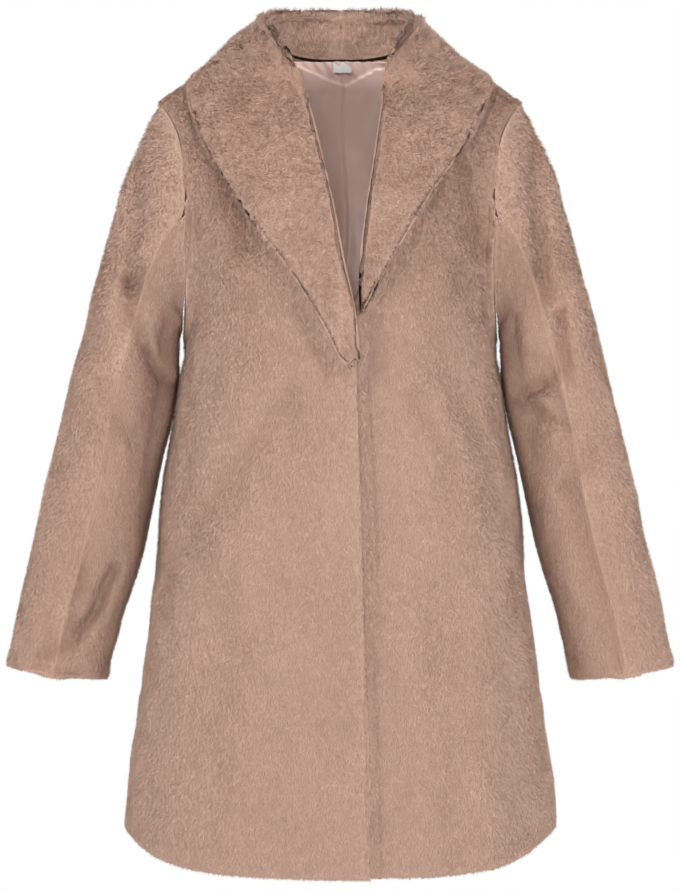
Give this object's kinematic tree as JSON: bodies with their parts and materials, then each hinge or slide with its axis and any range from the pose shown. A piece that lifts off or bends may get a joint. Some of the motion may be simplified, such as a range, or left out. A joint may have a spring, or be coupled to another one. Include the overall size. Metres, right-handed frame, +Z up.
{
  "type": "faux fur coat",
  "caption": "Thigh-length faux fur coat with a wide shawl collar, lapped front and long sleeves, in the hollow form it has when worn.",
  "frame": {"origin": "on the centre line at the base of the neck, level with the neck ends of the shoulder seams, where the wearer's neck and shoulders carry the coat", "axes": "+Z up, the front faces -Y, and +X is towards the wearer's left"},
  "size_m": [0.708, 0.3039, 0.9088],
  "materials": {
    "fur": "short plush pile",
    "lining": "satin",
    "label": "woven tape"
  },
  "bodies": {
    "root": {"back": "fur", "front_right": "fur", "front_left": "fur", "sleeve_right_top": "fur", "sleeve_right_under": "fur", "sleeve_left_top": "fur", "sleeve_left_under": "fur", "collar_right": "fur", "collar_left": "fur", "lining_back": "lining", "lining_front_right": "lining", "lining_front_left": "lining", "label": "label"}
  },
  "joints": []
}
